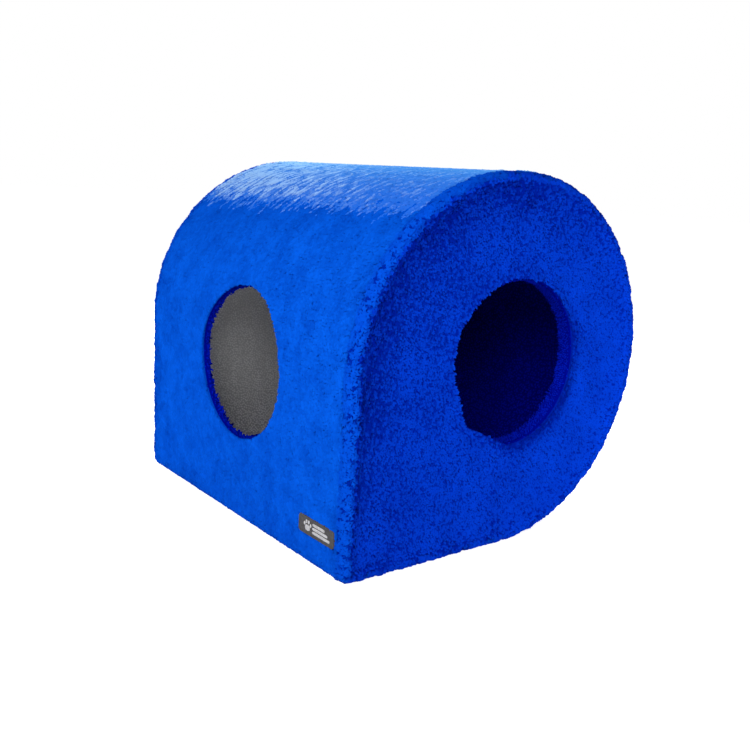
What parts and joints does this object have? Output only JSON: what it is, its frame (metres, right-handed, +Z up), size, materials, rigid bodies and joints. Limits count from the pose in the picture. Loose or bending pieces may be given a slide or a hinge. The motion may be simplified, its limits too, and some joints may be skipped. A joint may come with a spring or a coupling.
{
  "type": "plush-covered wooden pet house",
  "caption": "Indoor pet house: a plush-covered wooden den, half-round on the right and square at the lower left, with a round entry in front and a round window in the left wall.",
  "frame": {"origin": "on the ground under the middle of the house's box", "axes": "+Z up; the entry in the front faces -Y; the flat left wall with the window faces -X"},
  "size_m": [0.416, 0.426, 0.4],
  "materials": {
    "plush_blue": "short curly royal-blue plush pile, matt with a pale sheen along the light",
    "plush_gray": "short mid-gray plush pile, matt",
    "plywood": "bare birch plywood, sanded",
    "hardboard": "bare brown hardboard, smooth face out",
    "pine": "bare planed pine",
    "zinc_steel": "bright zinc plating",
    "tag_rubber": "dark gray soft moulded rubber, satin"
  },
  "bodies": {
    "root": {"back_cover": "plush_blue", "back_lining": "plush_gray", "back_panel": "plywood", "back_panel_screw_1": "zinc_steel", "back_panel_screw_2": "zinc_steel", "back_panel_screw_3": "zinc_steel", "back_panel_screw_4": "zinc_steel", "back_panel_screw_5": "zinc_steel", "back_rim_nail_1": "zinc_steel", "back_rim_nail_10": "zinc_steel", "back_rim_nail_2": "zinc_steel", "back_rim_nail_3": "zinc_steel", "back_rim_nail_4": "zinc_steel", "back_rim_nail_5": "zinc_steel", "back_rim_nail_6": "zinc_steel", "back_rim_nail_7": "zinc_steel", "back_rim_nail_8": "zinc_steel", "back_rim_nail_9": "zinc_steel", "floor_board": "plywood", "floor_board_nail_1": "zinc_steel", "floor_board_nail_2": "zinc_steel", "floor_board_nail_3": "zinc_steel", "floor_board_nail_4": "zinc_steel", "floor_lining": "plush_blue", "front_cover": "plush_blue", "front_hole_trim": "plush_blue", "front_lining": "plush_blue", "front_panel": "plywood", "front_panel_screw_1": "zinc_steel", "front_panel_screw_2": "zinc_steel", "front_panel_screw_3": "zinc_steel", "front_panel_screw_4": "zinc_steel", "front_panel_screw_5": "zinc_steel", "front_rim_nail_1": "zinc_steel", "front_rim_nail_10": "zinc_steel", "front_rim_nail_2": "zinc_steel", "front_rim_nail_3": "zinc_steel", "front_rim_nail_4": "zinc_steel", "front_rim_nail_5": "zinc_steel", "front_rim_nail_6": "zinc_steel", "front_rim_nail_7": "zinc_steel", "front_rim_nail_8": "zinc_steel", "front_rim_nail_9": "zinc_steel", "left_rail": "pine", "left_rail_nail_1": "zinc_steel", "left_rail_nail_2": "zinc_steel", "right_rail": "pine", "right_rail_nail_1": "zinc_steel", "right_rail_nail_2": "zinc_steel", "shell_cover": "plush_blue", "shell_lining": "plush_blue", "shell_sheet": "hardboard", "side_hole_trim": "plush_blue", "side_tag": "tag_rubber"}
  },
  "joints": []
}
